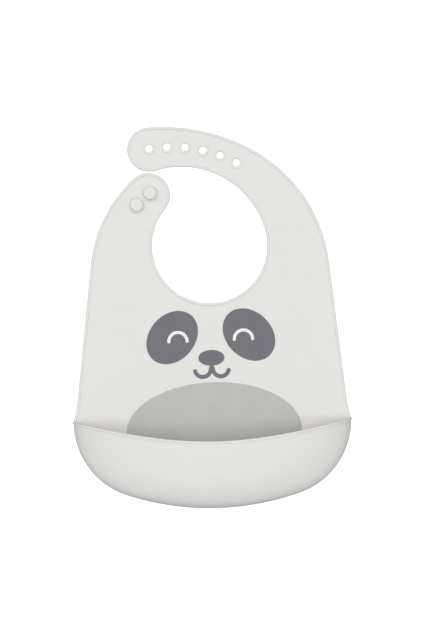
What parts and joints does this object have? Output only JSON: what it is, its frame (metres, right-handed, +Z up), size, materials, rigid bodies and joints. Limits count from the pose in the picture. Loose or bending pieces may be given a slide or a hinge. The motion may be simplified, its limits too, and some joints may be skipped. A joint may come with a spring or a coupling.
{
  "type": "silicone catch-pocket bib",
  "caption": "Soft silicone baby bib with a wide catch pocket, a wrap-round neck strap that buttons onto a stud tab, and a printed sleepy animal face.",
  "frame": {"origin": "centre of the lower round of the neck opening, on the back face of the sheet", "axes": "+Z up towards the neck strap, -Y out of the printed front, +X towards the shoulder that carries the strap"},
  "size_m": [0.2224, 0.038, 0.3045],
  "materials": {
    "ivory_silicone": "matt translucent ivory silicone with a soft sheen",
    "charcoal_print": "matt charcoal silicone print",
    "dove_print": "matt dove grey silicone print",
    "white_print": "matt white silicone print"
  },
  "bodies": {
    "bib": {"chest_panel": "ivory_silicone", "left_eye_patch": "charcoal_print", "right_eye_patch": "charcoal_print", "left_lid_line": "white_print", "right_lid_line": "white_print", "nose": "charcoal_print", "mouth": "charcoal_print", "belly_patch": "dove_print", "pocket_floor": "ivory_silicone", "left_pocket_cheek": "ivory_silicone", "right_pocket_cheek": "ivory_silicone", "pocket_fold_strip": "ivory_silicone"},
    "pocket_wall": {"pocket_front": "ivory_silicone"},
    "strap": {"right_shoulder_bend": "ivory_silicone", "strap_shoulder": "ivory_silicone"},
    "strap_tip": {"strap_bend": "ivory_silicone", "strap_end": "ivory_silicone"},
    "tab": {"left_shoulder_bend": "ivory_silicone", "stud_tab": "ivory_silicone", "upper_stud": "ivory_silicone", "lower_stud": "ivory_silicone"}
  },
  "joints": [
    {"name": "strap_fold", "type": "hinge", "parent": "bib", "child": "strap", "pos_m": [0.066, -0.001, 0.006], "axis": [-1, 0, 0], "range_deg": [-45, 95], "stiffness_Nm_per_rad": 0.03, "deforming": ["right_shoulder_bend"]},
    {"name": "strap_curl", "type": "hinge", "parent": "strap", "child": "strap_tip", "pos_m": [0.04828, -0.001, 0.04923], "axis": [-0.682, 0, -0.7314], "range_deg": [-35, 60], "stiffness_Nm_per_rad": 0.02, "deforming": ["strap_bend"]},
    {"name": "tab_fold", "type": "hinge", "parent": "bib", "child": "tab", "pos_m": [-0.066, -0.001, 0.006], "axis": [-1, 0, 0], "range_deg": [-45, 95], "stiffness_Nm_per_rad": 0.02, "deforming": ["left_shoulder_bend"]},
    {"name": "pocket_press", "type": "slide", "parent": "bib", "child": "pocket_wall", "axis": [0, 1, 0], "range_m": [-0.008, 0.02], "stiffness_N_per_m": 60, "deforming": ["pocket_fold_strip", "left_pocket_cheek", "right_pocket_cheek"]}
  ]
}
